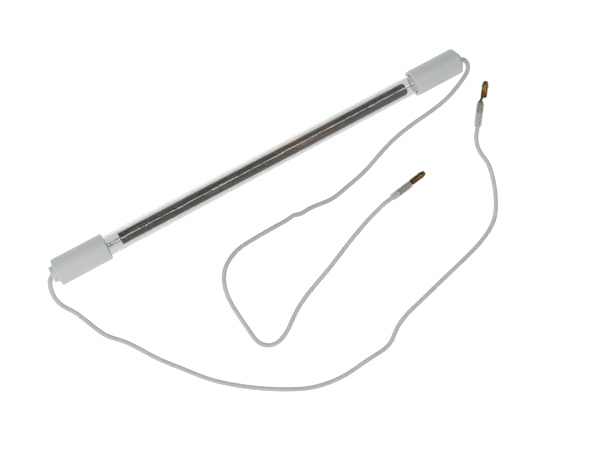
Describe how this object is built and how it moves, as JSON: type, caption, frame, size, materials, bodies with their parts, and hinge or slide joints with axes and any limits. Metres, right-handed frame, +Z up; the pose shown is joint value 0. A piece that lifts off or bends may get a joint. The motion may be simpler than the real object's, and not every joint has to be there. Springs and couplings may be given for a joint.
{
  "type": "quartz infrared heating element",
  "caption": "Straight quartz tube with a wound heating coil inside, ceramic end caps, flexible leads and brass bullet terminals with sliding clear sleeves.",
  "frame": {"origin": "on the surface that the caps rest on, below the middle of the element, halfway between the two caps", "axes": "+X along the quartz tube towards the right cap, +Z up from the resting surface, the leads lie on the -Y side"},
  "size_m": [0.2885, 0.1423, 0.016],
  "materials": {
    "quartz": "clear, fire-polished ends",
    "resistance_wire": "drawn wire, dark oxide",
    "cap_ceramic": "satin, unglazed",
    "cement": "matt, dry",
    "splice_steel": "plated",
    "tinned_strands": "fine tinned strands",
    "lead_jacket": "satin silicone",
    "terminal_brass": "stamped and rolled, bright",
    "clear_sleeve": "soft clear plastic"
  },
  "bodies": {
    "element": {"quartz_tube": "quartz", "heating_coil": "resistance_wire", "left_coil_tail": "resistance_wire", "right_coil_tail": "resistance_wire", "left_end_cap": "cap_ceramic", "right_end_cap": "cap_ceramic", "left_cap_cement": "cement", "right_cap_cement": "cement", "left_splice_barrel": "splice_steel", "right_splice_barrel": "splice_steel", "left_splice_strands": "tinned_strands", "right_splice_strands": "tinned_strands", "left_lead_wire": "lead_jacket", "right_lead_wire": "lead_jacket", "left_terminal_strands": "tinned_strands", "right_terminal_strands": "tinned_strands", "left_bullet_terminal": "terminal_brass", "right_bullet_terminal": "terminal_brass"},
    "left_sleeve": {"left_terminal_sleeve": "clear_sleeve"},
    "right_sleeve": {"right_terminal_sleeve": "clear_sleeve"}
  },
  "joints": [
    {"name": "left_sleeve_slide", "type": "slide", "parent": "element", "child": "left_sleeve", "axis": [0.5962, 0.8028, 0], "range_m": [-0.006, 0.0034]},
    {"name": "right_sleeve_slide", "type": "slide", "parent": "element", "child": "right_sleeve", "axis": [0.9898, 0.1426, 0], "range_m": [-0.006, 0]}
  ]
}
